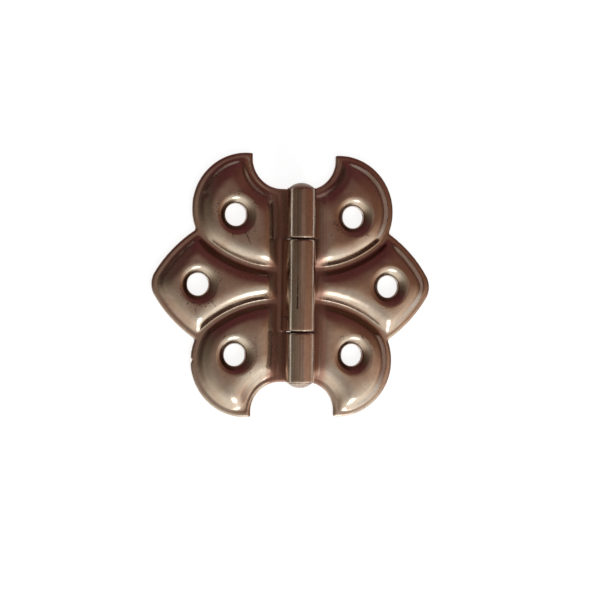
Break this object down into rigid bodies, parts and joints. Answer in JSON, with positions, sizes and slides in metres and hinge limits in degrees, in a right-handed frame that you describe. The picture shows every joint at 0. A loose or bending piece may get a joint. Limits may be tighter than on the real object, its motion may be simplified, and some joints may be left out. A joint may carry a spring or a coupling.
{
  "type": "butterfly hinge",
  "caption": "Surface-mounted cabinet hinge with butterfly-shaped stamped leaves, pressed hollow lobes round dished screw holes, rolled knuckles and a headed pin.",
  "frame": {"origin": "middle of the hinge on the mounting plane, where the midline between the leaves crosses the line through the wing tips", "axes": "+X across the leaves towards the leaf with the end knuckles, +Y along the pin, +Z out of the mounting plane towards the barrel"},
  "size_m": [0.0642, 0.0584, 0.0081],
  "materials": {
    "plated_steel": "old nickel plate, softly polished",
    "pin_steel": "old nickel plate, softly polished"
  },
  "bodies": {
    "frame_side": {"right_leaf": "plated_steel", "hinge_pin": "pin_steel"},
    "door_side": {"left_leaf": "plated_steel"}
  },
  "joints": [
    {"name": "leaf_swing", "type": "hinge", "parent": "frame_side", "child": "door_side", "pos_m": [0.00045, 0, 0.00485], "axis": [0, 1, 0], "range_deg": [-25, 180]}
  ]
}
